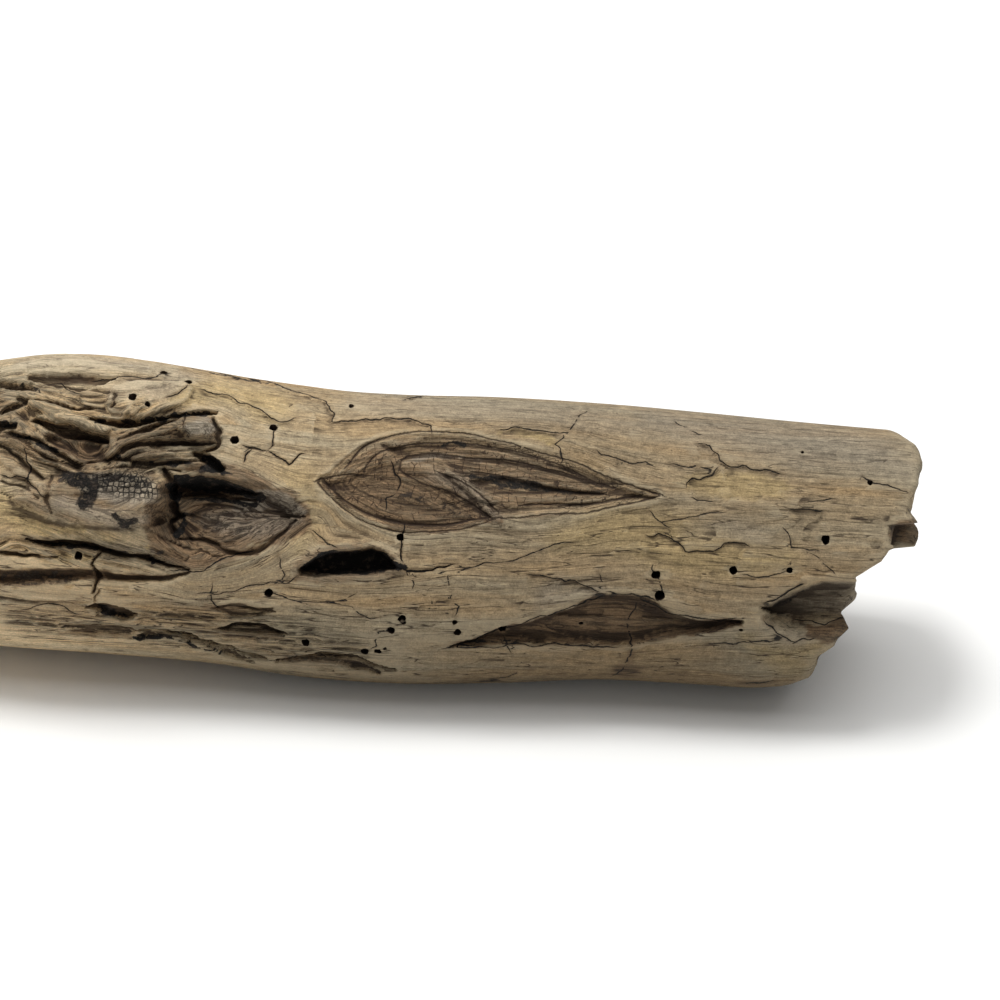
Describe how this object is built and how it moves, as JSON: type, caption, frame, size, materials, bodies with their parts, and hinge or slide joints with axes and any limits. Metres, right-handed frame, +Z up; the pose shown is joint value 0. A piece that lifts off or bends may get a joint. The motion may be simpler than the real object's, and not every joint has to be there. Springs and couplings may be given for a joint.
{
  "type": "piece of driftwood",
  "caption": "Thick weathered length of a limb with sunken knots, hollows, drying cracks, beetle holes and a torn end, lying on a small worn flat of its underside.",
  "frame": {"origin": "middle of the bounding box in X and Y, on the plane that the wood rests on", "axes": "X runs along the wood from the plain left end to the torn right end, Z is up, and the face with the knots looks towards -Y and up"},
  "size_m": [0.3026, 0.0856, 0.0891],
  "materials": {
    "weathered_wood": "bare wood, weathered to a pale tan and grey, dry and rough"
  },
  "bodies": {
    "root": {"driftwood": "weathered_wood"}
  },
  "joints": []
}
